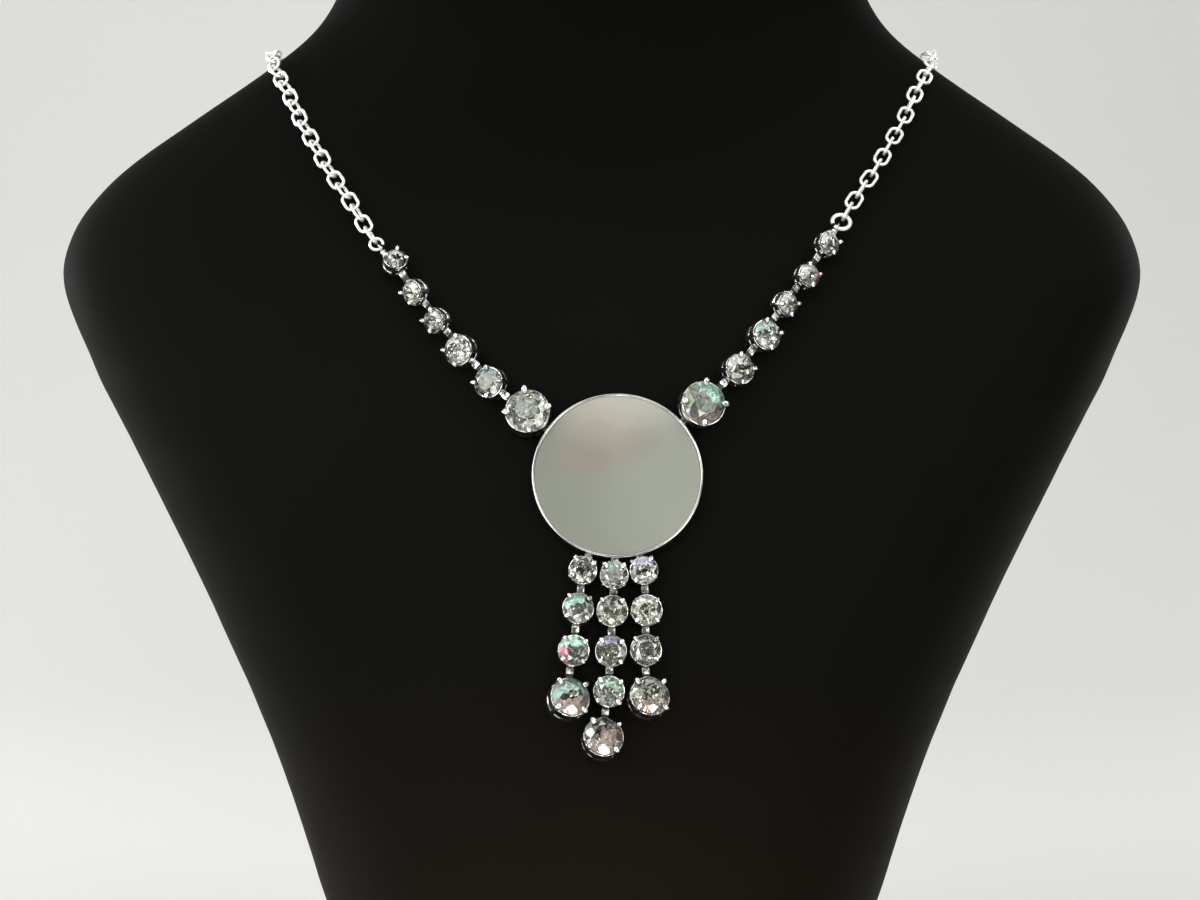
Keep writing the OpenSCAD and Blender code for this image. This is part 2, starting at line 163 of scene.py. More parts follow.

# The stones that flash, each flash a painted reflection in one tone: the tone, the side that flashes (0 to the
# right, 90 up), how far out from the middle it starts, in radii of the stone, and how strong it is
FLASHES = {
    "right_1": [("moss", 130, 0.4, 0.7), ("peach", -60, 0.35, 0.4), ("mint", 52, 0.42, 0.85)],
    "left_1": [("white", 130, 0.6, 0.4)],
    "left_2": [("sky", 100, 0.5, 0.5)],
    "left_3": [("white", 100, 0.55, 0.5)],
    "right_2": [("white", 125, 0.35, 0.7)],
    "right_3": [("sky", 115, 0.4, 0.8)],
    "right_4": [("lilac", -60, 0.5, 0.5), ("white", 120, 0.05, 0.8)],
    "right_5": [("white", 110, 0.2, 0.8), ("rose", -5, 0.5, 0.7)],
    "right_6": [("white", 120, 0.3, 0.8)],
    "left_4": [("white", 60, 0.5, 0.7)],
    "left_5": [("white", 75, 0.5, 0.7)],
    "left_6": [("white", 80, 0.3, 0.8)],
    "drop_left_2": [("mint", 112, 0.3, 0.85)],
    "drop_left_3": [("rose", 178, 0.5, 0.75), ("mint", 88, 0.3, 0.95)],
    "drop_left_4": [("peach", -88, 0.05, 0.7), ("sky", 105, 0.2, 0.7), ("mint", 62, 0.45, 0.7)],
    "drop_centre_1": [("mint", 90, 0.55, 0.5)],
    "drop_centre_3": [("lilac", 100, 0.5, 0.5)],
    "drop_centre_4": [("mint", 70, 0.25, 0.6)],
    "drop_centre_5": [("peach", -55, -0.1, 0.65)],
    "drop_right_1": [("lilac", 95, 0.45, 0.7)],
    "drop_right_2": [("white", 95, 0.5, 0.6)],
    "drop_right_4": [("peach", -80, 0.0, 0.5)],
}

# The one bright spark of a stone, a painted glint that the small warm light also lights: where it lies, in radii
# to the right and up, and how far it reaches; then how much of its facets the coat covers
SPARKS = {"drop_left_4": (0.06, -0.63, 0.28), "drop_right_4": (0.03, -0.6, 0.22), "drop_centre_5": (0.07, -0.6, 0.24)}
SPARK_SHARE = 1.8

# Soft panels on a dome about the necklace: turn to the right and height in degrees, size in metres, power
PANELS = ((-62, 38, 0.66, 3.9), (-40, 8, 0.4, 2.3), (-35, 60, 0.42, 1.3), (28, 66, 0.4, 1.2), (58, 42, 0.48, 2.7),
          (44, 5, 0.36, 1.9), (-12, -4, 0.22, 1.0), (20, 18, 0.22, 1.05), (-22, 30, 0.22, 1.05))

# For a mesh that is already in its place
STAY = Matrix.Identity(4)

# What the lights point at: the middle of the bust, and the lower end of the tassel
MIDDLE = (0.0, 0.0, 0.14)
TASSEL_END = (0.0, -0.062, 0.08)

# The small warm light under the tassel: place, target, width, height and power, and how far it spreads
SPARK_LIGHT = ((0.0, -0.14, 0.016), TASSEL_END, 0.03, 0.02, 0.011)
SPARK_SPREAD = math.radians(75)

# The lights on the flanks of the bust and on the backdrop: place, target, width, height and power
LAMPS = {
    "left_side": ((-1.0, 0.28, 0.2), MIDDLE, 0.45, 0.7, 8.5),
    "left_edge": ((-0.6, 0.4, 0.25), MIDDLE, 0.25, 0.6, 1.6),
    "right_edge": ((0.6, 0.4, 0.25), MIDDLE, 0.25, 0.6, 1.8),
    "backdrop": ((0.0, 0.35, 1.3), (0.0, 1.0, 0.2), 1.6, 0.4, 6.0),
}

# The photograph's frame, in pixels, and where the middle of the pendant lies in it
PHOTO_WIDE = 1200
PHOTO_HIGH = 900
PENDANT_PIXEL = (617.5, 475.5)


class Wire:
    """A socket that stands in expressions: each operator adds the Math node that works it out."""

    def __init__(self, graph, socket):
        self.graph = graph
        self.socket = socket

    def math(self, operation, *values):
        return self.graph.add("ShaderNodeMath", dict(enumerate(values)), operation=operation)["Value"]

    def __add__(self, other):
        return self.math("ADD", self, other)

    def __radd__(self, other):
        return self.math("ADD", other, self)

    def __sub__(self, other):
        return self.math("SUBTRACT", self, other)

    def __rsub__(self, other):
        return self.math("SUBTRACT", other, self)

    def __mul__(self, other):
        return self.math("MULTIPLY", self, other)

    def __rmul__(self, other):
        return self.math("MULTIPLY", other, self)

    def __truediv__(self, other):
        return self.math("DIVIDE", self, other)

    def __pow__(self, other):
        return self.math("POWER", self, other)

    def clamped(self):
        return self.math("MINIMUM", self.math("MAXIMUM", self, 0.0), 1.0)


class Made:
    """A node that was added; its outputs are read by name or number."""

    def __init__(self, graph, node):
        self.graph = graph
        self.node = node

    def __getitem__(self, key):
        return Wire(self.graph, self.node.outputs[key])


class Graph:
    """A shader or geometry tree under construction."""

    def __init__(self, tree):
        self.tree = tree

    def add(self, kind, values=None, **settings):
        """A node with its settings and, by input, its values."""
        node = self.tree.nodes.new(kind)
        for name, setting in settings.items():
            setattr(node, name, setting)
        for key, value in (values or {}).items():
            if isinstance(value, Wire):
                self.tree.links.new(value.socket, node.inputs[key])
            else:
                node.inputs[key].default_value = value
        return Made(self, node)

    def mix(self, factor, first, second):
        """A colour between two colours."""
        return self.add("ShaderNodeMix", {0: factor, 6: first, 7: second}, data_type="RGBA")[2]

    def vector(self, **parts):
        return self.add("ShaderNodeCombineXYZ", parts)["Vector"]

    def vector_math(self, operation, values):
        return self.add("ShaderNodeVectorMath", values, operation=operation)[0]

    def where(self):
        """A point's place in its piece's own axes."""
        return self.add("ShaderNodeTexCoord")["Object"]

    def spots(self, scale, detail=2.0, rough=0.5):
        """Soft noise from 0 to 1; the scale is in cycles a metre."""
        values = {"Vector": self.where(), "Scale": scale, "Detail": detail, "Roughness": rough}
        return self.add("ShaderNodeTexNoise", values)["Fac"]

    def remap(self, value, low, high, to_low=0.0, to_high=1.0):
        values = {"Value": value, 1: low, 2: high, 3: to_low, 4: to_high}
        return self.add("ShaderNodeMapRange", values, interpolation_type="SMOOTHSTEP")["Result"]

    def crushed(self, scale, depth):
        """Small flat grains: a normal that tips a random way in each grain, and each grain's own random value."""
        grains = self.add("ShaderNodeTexVoronoi", {"Vector": self.where(), "Scale": scale})["Color"]
        centred = self.vector_math("SUBTRACT", {0: grains, 1: (0.5, 0.5, 0.5)})
        tipped = self.vector_math("SCALE", {0: centred, "Scale": depth})
        leaning = self.vector_math("ADD", {0: self.add("ShaderNodeNewGeometry")["Normal"], 1: tipped})
        return self.vector_math("NORMALIZE", {0: leaning}), self.add("ShaderNodeSeparateXYZ", {0: grains})["Y"]

    def bump(self, height, strength, distance):
        return self.add("ShaderNodeBump", {"Height": height, "Strength": strength, "Distance": distance})["Normal"]

    def principled(self, **values):
        spaced = {name.replace("_", " "): value for name, value in values.items()}
        return self.add("ShaderNodeBsdfPrincipled", spaced)["BSDF"]

    def surface(self, shader):
        self.add("ShaderNodeOutputMaterial", {"Surface": shader})


def rgb(colour, level=1.0):
    """A colour with its alpha, made lighter or darker."""
    return (colour[0] * level, colour[1] * level, colour[2] * level, 1.0)


def blank_material(name):
    material = bpy.data.materials.new(name)
    material.use_nodes = True
    material.node_tree.nodes.clear()
    return material, Graph(material.node_tree)


def satin_black(colour):
    """Moulded resin with a satin black coat: faint clouds, fine grain and a few dull patches."""
    material, graph = blank_material("satin_black")
    height = graph.add("ShaderNodeSeparateXYZ", {"Vector": graph.where()})["Z"]
    clouds = graph.spots(22.0, 3.0)
    grain = graph.spots(1600.0, 3.0, 0.6)
    dull = graph.remap(graph.spots(70.0, 5.0, 0.6), 0.45, 0.75)
    # Painted light: lighter and warm low down, as if lit from below; painted shade: darker towards the top
    low = graph.remap(height, 0.02, 0.1, 1.0, 0.0)
    high = graph.remap(height, 0.13, 0.2)
    even = graph.mix(clouds, rgb(colour), rgb(colour, 1.7))
    dusty = graph.mix(dull * 0.25, even, rgb(colour, 2.6))
    painted_warm_light = graph.mix(low, dusty, rgb([colour[0] * 3.6, colour[1] * 2.6, colour[2] * 2.2]))
    tone = graph.mix(high * 0.65, painted_warm_light, rgb(colour, 0.4))
    rough = 0.56 + dull * 0.1 + grain * 0.05
    normal = graph.bump(grain * 0.6 + graph.spots(330.0, 2.0), 0.15, 0.04 * MM)
    graph.surface(graph.principled(Base_Color=tone, Roughness=rough, Normal=normal, Specular_IOR_Level=0.03))
    return material


def silver_plate(name, colour, polish, filmed=0.55, dented=0.22, painted_dark_share=0.0, metallic=1.0):
    """Plated metal: bright, with a faint grey film, tiny dents, uneven polish and patches of painted dark reflection.
    """
    material, graph = blank_material(name)
    film = graph.remap(graph.spots(420.0, 4.0, 0.6), 0.42, 0.72)
    dents = graph.spots(1900.0, 2.0)
    plated = graph.mix(film * filmed, rgb(colour), rgb(colour, 0.62))
    # Painted dark reflections: dark patches, as strong as the caller asks
    patches = graph.remap(graph.spots(1100.0, 2.0, 0.4), 0.5, 0.6)
    tone = graph.mix(patches * painted_dark_share, plated, rgb(colour, 0.12))
    rough = polish + film * 0.1 + graph.spots(5200.0, 1.0) * 0.05
    normal = graph.bump(dents, dented, 0.04 * MM)
    graph.surface(graph.principled(Base_Color=tone, Metallic=metallic, Roughness=rough, Normal=normal))
    return material


def strip_finishes(name, pad, neck):
    """The plate of a strip's pad, and its neck painted near black as shade."""
    return [silver_plate(f"{name}_pad", pad, 0.16, dented=0.5, painted_dark_share=0.8),
            silver_plate(f"{name}_neck", neck, 0.35)]


def satin_pearl(warm, cool, light, face):
    """The pendant's face: satin metal with a pearly wash, warm at its upper left, cool at its right, with
    painted sheen on top and painted shade towards its left.
    """
    material, graph = blank_material("satin_pearl")
    values = {"Vector": graph.where(), "Location": face.origin, "Rotation": face.axes.to_euler()}
    centred = graph.add("ShaderNodeMapping", values, vector_type="TEXTURE")["Vector"]
    apart = graph.add("ShaderNodeSeparateXYZ", {"Vector": centred})
    across = apart["X"] * (1.0 / face.radius)
    up = apart["Y"] * (1.0 / face.radius)
    drift = graph.spots(85.0, 2.0, 0.5) - 0.5
    from_warm = ((across + 0.2) ** 2.0 + (up - 0.6) ** 2.0) + drift * 0.8
    cooler = graph.remap(from_warm, 0.0, 0.6)
    # Painted sheen: lighter towards the top
    painted_top_sheen = graph.remap(up * 0.62 - (across - 0.05) ** 2.0 * 0.35 + drift * 0.2, 0.05, 0.7)
    # Painted shade: darker towards the left and a little towards the bottom
    painted_side_shade = graph.remap(across * 0.9 + up * 0.2 + drift * 0.3, -1.0, 0.8)
    even = graph.mix(painted_side_shade, rgb(cool, 0.74), rgb(cool))
    tone = graph.mix(cooler, rgb(warm), even)
    lit = graph.mix(painted_top_sheen, tone, rgb(light))
    grain = graph.spots(7000.0, 2.0)
    rough = 0.34 + grain * 0.08 + drift * 0.06
    normal = graph.bump(grain, 0.08, 0.01 * MM)
    graph.surface(graph.principled(Base_Color=lit, Metallic=0.55, Roughness=rough, Normal=normal))
    return material


def cut_crystal(clear):
    """The front of a stone: clear glass, with an iridescent coat on the facets that flash, in painted reflections."""
    material, graph = blank_material("cut_crystal")
    coat = graph.add("ShaderNodeAttribute", attribute_name="flash_colour")
    share = graph.add("ShaderNodeAttribute", attribute_name="flash_share")["Fac"]
    haze = graph.spots(1500.0, 3.0, 0.6)
    tint = graph.mix(share * 0.5, rgb(clear), coat["Color"])
    glass = graph.principled(Base_Color=tint, Roughness=0.015, IOR=1.58, Transmission_Weight=1.0)
    tipped, grain = graph.crushed(2600.0, 0.42)
    # Painted dark reflections: some grains of the coat darkened, except on the spark's facets
    painted_dark_grains = graph.remap(grain, 0.45, 0.85) * (1.5 - share).clamped() * 0.45
    shade = graph.mix(painted_dark_grains, coat["Color"], (0.2, 0.2, 0.17, 1.0))
    sheen = graph.principled(Base_Color=shade, Metallic=1.0, Roughness=0.26 + haze * 0.2, Normal=tipped)
    mixed = graph.add("ShaderNodeMixShader", {0: (share * (0.5 + haze * 0.6)).clamped(), 1: glass, 2: sheen})
    graph.surface(mixed["Shader"])
    return material


def mirror_foil():
    """The back of a stone: silvered, each facet and grain painted lighter or darker as reflections, and a little worn.
    """
    material, graph = blank_material("mirror_foil")
    facet = graph.add("ShaderNodeAttribute", attribute_name="flash_colour")["Color"]
    worn = graph.remap(graph.spots(1500.0, 3.0), 0.5, 0.8)
    tipped, grain = graph.crushed(2000.0, 0.6)
    # Painted dark reflections: grains of the crushed foil darkened towards near black
    tone = graph.mix(graph.remap(grain, 0.5, 0.75) * 0.9, facet, (0.07, 0.07, 0.06, 1.0))
    graph.surface(graph.principled(Base_Color=tone, Metallic=1.0, Roughness=0.06 + worn * 0.14, Normal=tipped))
    return material


def pale_floor(colour):
    """A matt floor that runs up into its backdrop."""
    material, graph = blank_material("pale_floor")
    clouds = graph.spots(3.0, 2.0)
    grain = graph.spots(420.0, 2.0)
    tone = graph.mix(clouds, rgb(colour), rgb(colour, 0.95))
    normal = graph.bump(grain, 0.05, 0.2 * MM)
    graph.surface(graph.principled(Base_Color=tone, Roughness=0.75 + grain * 0.1, Normal=normal))
    return material


class Place:
    """An origin with three axes, such as that of a cup, and the size of what lies there."""

    def __init__(self, origin, axes, radius=0.0):
        self.origin = Vector(origin)
        self.axes = Matrix(axes)
        self.radius = radius

    def axis(self, number):
        return Vector(self.axes.col[number])

    def matrix(self):
        return Matrix.Translation(self.origin) @ self.axes.to_4x4()

    def moved(self, x=0.0, y=0.0, z=0.0):
        return Place(self.origin + self.axes @ Vector((x, y, z)), self.axes, self.radius)


def axes_from(x, z):
    """Three axes as a matrix's columns, from the first and the third."""
    z = Vector(z).normalized()
    x = (Vector(x) - z * z.dot(Vector(x))).normalized()
    return Matrix((x, z.cross(x), z)).transposed()


def flat(vector, normal):
    return (vector - normal * vector.dot(normal)).normalized()


def merged(node):
    """A copy of a node's mesh with its doubled points merged."""
    shape = bmesh.new()
    shape.from_mesh(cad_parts[node].data)
    bmesh.ops.remove_doubles(shape, verts=shape.verts, dist=NEAR)
    return shape


def corners_of(node):
    shape = merged(node)
    points = np.array([v.co for v in shape.verts])
    shape.free()
    return points


def loose_solids(node):
    """The corner points of each loose solid of a node, in the same order each time."""
    shape = merged(node)
    seen = set()
    solids = []
    for first in shape.verts:
        if first in seen:
            continue
        seen.add(first)
        found = [first]
        for vert in found:
            for edge in vert.link_edges:
                other = edge.other_vert(vert)
                if other not in seen:
                    seen.add(other)
                    found.append(other)
        solids.append(np.array([v.co for v in found]))
    shape.free()
    return solids


def main_axes(points):
    """The directions of a cloud of points, from its longest to its shortest."""
    spread = np.cov((points - points.mean(0)).T)
    return np.linalg.eigh(spread)[1].T[::-1]


def stone_place(node, towards):
    """Where a stone lies: its origin is at its girdle, and its third axis points out of its table."""
    points = corners_of(node)
    normal = main_axes(points)[2]
    height = (points - points.mean(0)) @ normal
    if abs(height.max()) > abs(height.min()):
        normal, height = -normal, -height
    rough = points.mean(0)
    radial = points - rough - np.outer(height, normal)
    reach = np.linalg.norm(radial, axis=1)
    edge = points[reach > reach.max() * 0.995]
    centre = edge.mean(0)
    top = points[height > height.max() - 0.01 * MM]
    spoke = Vector(flat(Vector(towards), Vector(normal)))
    best = max((Vector(p - top.mean(0)).normalized() for p in top), key=lambda v: v.dot(spoke))
    size = float(np.linalg.norm(edge - centre, axis=1).mean())
    return Place(centre, axes_from(best, normal), size)


def strand_places(strand):
    """The places of a strand's stones, each with its first axis along the strand."""
    names = [f"stone_{strand}_{number}" for number in range(1, STRANDS[strand] + 1)]
    middles = [corners_of("pendant_face").mean(0)] + [corners_of(name).mean(0) for name in names]
    middles.append(middles[-1])
    return [stone_place(name, Vector(middles[i + 2]) - Vector(middles[i])) for i, name in enumerate(names)]


def seat_height(radius):
    """From the bottom of a cup to the girdle of its stone."""
    return CUP_FLOOR + CUP_DEEP + WALL_CLEAR + 2 * radius * (PAVILION + GIRDLE / 2)


def cup_places(strand):
    return [stone.moved(z=-seat_height(stone.radius)) for stone in strand_places(strand)]


def face_place():
    """The pendant's face: its origin is in the middle of the disc, and its second axis points up."""
    points = corners_of("pendant_face")
    centre = points.mean(0)
    normal = Vector(main_axes(points)[2])
    if normal.y > 0:
        normal = -normal
    return Place(centre, axes_from(Vector((1, 0, 0)), normal), float(np.linalg.norm(points - centre, axis=1).max()))


def tray_place():
    face = face_place()
    height = corners_of("pendant_face") @ np.array(face.axis(2))
    bottom = TRAY_THICK - TRAY_RECESS + PLAY
    tray = face.moved(z=-(height.max() - height.min()) / 2 - bottom)
    tray.radius = face.radius + TRAY_RIM + PLAY
    return tray


def port_height(radius):
    return CUP_FLOOR + PLAY + BALL / 2 + PORT_SPARE + max(0.0, 2 * radius - MIDDLE_STONE) * PORT_RISE


def port(cup, target):
    """The place in a cup's wall that faces a target."""
    out = flat(target - cup.origin, cup.axis(2))
    return cup.origin + cup.axis(2) * port_height(cup.radius) + out * (cup.radius + (WALL_OUT - WALL_IN) / 2)


def tray_port(tray, target):
    height = (target - tray.origin).dot(tray.axis(2))
    height = min(max(height, STRIP_THICK / 2), (TRAY_THICK - TRAY_RECESS) / 3)
    out = flat(target - tray.origin, tray.axis(2))
    return tray.origin + tray.axis(2) * height + out * (tray.radius - TRAY_HOLD)


def run_between(start, end, first_normal, second_normal):
    """A place at the start of a strip, with its first axis along it, and the strip's length."""
    along = (end - start).normalized()
    return Place(start, axes_from(along, first_normal + second_normal), (end - start).length)


def strip_into(number, cups):
    """The strip that ends in one cup of a strand, counted from 0."""
    cup = cups[number]
    if number == 0:
        tray = tray_place()
        end = port(cup, tray.origin)
        return run_between(tray_port(tray, end), end, tray.axis(2), cup.axis(2))
    before = cups[number - 1]
    return run_between(port(before, cup.origin), port(cup, before.origin), before.axis(2), cup.axis(2))


def chain_links(side):
    """The places of a chain's links and of its jump ring, read from their solids."""
    links = []
    ring = None
    outer = (LINK_LONG + 2 * LINK_WIRE, LINK_WIDE + 2 * LINK_WIRE)
    for points in loose_solids(f"chain_{side}"):
        axes = main_axes(points)
        extents = [np.ptp(points @ axis) for axis in axes]
        centre = sum(axis * ((points @ axis).max() + (points @ axis).min()) / 2 for axis in axes)
        if math.dist(extents[:2], outer) < 0.05 * MM:
            links.append(Place(centre, axes_from(axes[0], axes[2])))
        else:
            ring = open_ring(points, axes)
    return links, ring


def open_ring(points, axes):
    """A jump ring's place: its first axis points at its opening, and its radius is that of its middle line."""
    first, second, normal = axes
    flat_points = np.stack([points @ first, points @ second], axis=1)
    columns = np.column_stack([2 * flat_points, np.ones(len(points))])
    fitted = np.linalg.lstsq(columns, (flat_points ** 2).sum(1), rcond=None)[0]
    centre_flat = fitted[:2]
    away = centre_flat - flat_points.mean(0)
    reach = np.linalg.norm(flat_points - centre_flat, axis=1)
    centre = first * centre_flat[0] + second * centre_flat[1] + normal * float((points @ normal).mean())
    opening = first * away[0] + second * away[1]
    if normal[1] > 0:
        normal = -normal
    ring = Place(centre, axes_from(opening, normal), float((reach.max() + reach.min()) / 2))
    ring.wire = float(reach.max() - reach.min())
    return ring


def clasp_place():
    """The clasp's ring: its first axis points at its loop."""
    points = corners_of("clasp")
    axes = main_axes(points)
    across = points @ axes[1]
    middle_across = (across.max() + across.min()) / 2
    wide = points[abs(across - middle_across) > CLASP_LOOP]
    along = points @ axes[0]
    ring_along = (wide @ axes[0]).mean()
    towards = axes[0] * (1 if (along.max() + along.min()) / 2 > ring_along else -1)
    through = (points @ axes[2]).mean()
    centre = axes[0] * ring_along + axes[1] * middle_across + axes[2] * through
    normal = axes[2] if axes[2][1] > 0 else -axes[2]
    return Place(centre, axes_from(towards, normal))


def mesh_from(points, faces, smooth=True):
    mesh = bpy.data.meshes.new("shape")
    mesh.from_pydata([tuple(p) for p in points], [], faces)
    mesh.polygons.foreach_set("use_smooth", [smooth] * len(mesh.polygons))
    mesh.update()
    return mesh


def band(low, high):
    """The faces between two rings of points."""
    count = len(low)
    return [(low[k], low[(k + 1) % count], high[(k + 1) % count], high[k]) for k in range(count)]


def on_circle(radius, angle, height=0.0):
    return (radius * math.cos(angle), radius * math.sin(angle), height)


def turned(profile, steps):
    """A round shape: a profile of radius and height, from the axis round the outside back to the axis."""
    points = []
    rings = []
    for radius, height in profile:
        if radius < 1e-9:
            rings.append([len(points)] * steps)
            points.append((0.0, 0.0, height))
            continue
        rings.append(list(range(len(points), len(points) + steps)))
        points += [on_circle(radius, 2 * math.pi * k / steps, height) for k in range(steps)]
    faces = [tuple(dict.fromkeys(face)) for low, high in zip(rings, rings[1:]) for face in band(low, high)]
    return mesh_from(points, faces)


def rounded(corners, radius, steps=3):
    """A profile whose inner corners are rounded; its two end points stay."""
    out = [corners[0]]
    for before, here, after in zip(corners, corners[1:], corners[2:]):
        here, before, after = Vector(here), Vector(before), Vector(after)
        cut = min(radius, (before - here).length * 0.45, (after - here).length * 0.45)
        start = here + (before - here).normalized() * cut
        end = here + (after - here).normalized() * cut
        for k in range(steps + 1):
            t = k / steps
            out.append(tuple(start * (1 - t) ** 2 + here * 2 * t * (1 - t) + end * t ** 2))
    out.append(corners[-1])
    return out


def soft_box(size, edge, steps=2, slot=PAD):
    """A box from the origin along +X, with rounded edges, in one of its piece's material slots."""
    shape = bmesh.new()
    bmesh.ops.create_cube(shape, size=1.0)
    for vert in shape.verts:
        vert.co = Vector((vert.co.x * size[0] + size[0] / 2, vert.co.y * size[1], vert.co.z * size[2]))
    bmesh.ops.bevel(shape, geom=shape.edges[:] + shape.verts[:], offset=edge, segments=steps, affect="EDGES",
                    profile=0.5, clamp_overlap=True)
    mesh = bpy.data.meshes.new("box")
    shape.to_mesh(mesh)
    shape.free()
    mesh.polygons.foreach_set("use_smooth", [True] * len(mesh.polygons))
    mesh.polygons.foreach_set("material_index", [slot] * len(mesh.polygons))
    return mesh


def tube(points, radius, sides, closed=False):
    """A tube of one thickness along a line of points, with closed ends."""
    rings = []
    made = []
    count = len(points)
    guide = None
    for k, point in enumerate(points):
        after = points[(k + 1) % count] if closed or k < count - 1 else point
        before = points[k - 1] if closed or k > 0 else point
        along = (after - before).normalized()
        if guide is None:
            guide = along.orthogonal()
        guide = flat(guide, along)
        other = along.cross(guide)
        rings.append(list(range(len(made), len(made) + sides)))
        for side in range(sides):
            angle = 2 * math.pi * side / sides
            made.append(point + (guide * math.cos(angle) + other * math.sin(angle)) * radius)
    pairs = list(zip(rings, rings[1:])) + ([(rings[-1], rings[0])] if closed else [])
    faces = [face for low, high in pairs for face in band(low, high)]
    if not closed:
        faces += [tuple(reversed(rings[0])), tuple(rings[-1])]
    return mesh_from(made, faces)


def circle_points(radius, steps, start=0.0, sweep=2 * math.pi):
    """Points on a circle about the third axis."""
    return [Vector(on_circle(radius, start + sweep * k / steps)) for k in range(steps)]


def linked(name, data):
    """A new object in the scene."""
    obj = bpy.data.objects.new(name, data)
    bpy.context.collection.objects.link(obj)
    return obj


def piece(name, parts, replaced, materials):
    """Joins meshes, each with the place it goes to, into one piece that stands for the solids named."""
    shape = bmesh.new()
    for mesh, matrix in parts:
        copy = mesh.copy()
        copy.transform(matrix)
        shape.from_mesh(copy)
        bpy.data.meshes.remove(copy)
    joined = bpy.data.meshes.new(name)
    shape.to_mesh(joined)
    shape.free()
    obj = linked(name, joined)
    for material in materials:
        joined.materials.append(material)
    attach(obj, BODY)
    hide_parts(*replaced)
    return obj


def new_tree(name, sizes):
    """A geometry tree with named inputs, each with its kind; gives the graph and the input node."""
    tree = bpy.data.node_groups.new(name, "GeometryNodeTree")
    tree.interface.new_socket("Geometry", in_out="INPUT", socket_type="NodeSocketGeometry")
    for label, kind in sizes.items():
        tree.interface.new_socket(label, in_out="INPUT", socket_type=f"NodeSocket{kind}")
    tree.interface.new_socket("Geometry", in_out="OUTPUT", socket_type="NodeSocketGeometry")
    graph = Graph(tree)
    return graph, graph.add("NodeGroupInput")


def set_out(graph, one, given):
    """Puts one copy of a shape at every point, turned to the point's own axes, and ends the tree."""
    along, outwards = (graph.add("GeometryNodeInputNamedAttribute", {"Name": name}, data_type="FLOAT_VECTOR")[0]
                       for name in ("along", "outwards"))
    turn = graph.add("FunctionNodeAxesToRotation", {"Primary Axis": outwards, "Secondary Axis": along},
                     primary_axis="Z", secondary_axis="X")["Rotation"]
    copies = graph.add("GeometryNodeInstanceOnPoints",
                       {"Points": given["Geometry"], "Instance": one, "Rotation": turn})["Instances"]
    real = graph.add("GeometryNodeRealizeInstances", {"Geometry": copies})["Geometry"]
    smooth = graph.add("GeometryNodeSetShadeSmooth", {"Geometry": real})["Geometry"]
    coated = graph.add("GeometryNodeSetMaterial", {"Geometry": smooth, "Material": given["Material"]})
    graph.add("NodeGroupOutput", {"Geometry": coated["Geometry"]})


def link_tree():
    """Oval links: a circle drawn out along its first axis, swept by a round wire."""
    sizes = {"Wire": "Float", "Inner width": "Float", "Inner length": "Float", "Steps": "Int", "Sides": "Int",
             "Material": "Material"}
    graph, given = new_tree("cable_links", sizes)
    bend = (given["Inner width"] + given["Wire"]) * 0.5
    ring = graph.add("GeometryNodeCurvePrimitiveCircle", {"Resolution": given["Steps"], "Radius": bend})["Curve"]
    spot = graph.add("ShaderNodeSeparateXYZ", {0: graph.add("GeometryNodeInputPosition")["Position"]})
    side = spot["X"].math("SIGN", spot["X"])
    shift = side * ((given["Inner length"] - given["Inner width"]) * 0.5)
    oval = graph.add("GeometryNodeSetPosition", {"Geometry": ring, "Offset": graph.vector(X=shift)})["Geometry"]
    values = {"Resolution": given["Sides"], "Radius": given["Wire"] * 0.5}
    wire = graph.add("GeometryNodeCurvePrimitiveCircle", values)["Curve"]
    link = graph.add("GeometryNodeCurveToMesh", {"Curve": oval, "Profile Curve": wire})["Mesh"]
    set_out(graph, link, given)
    return graph.tree


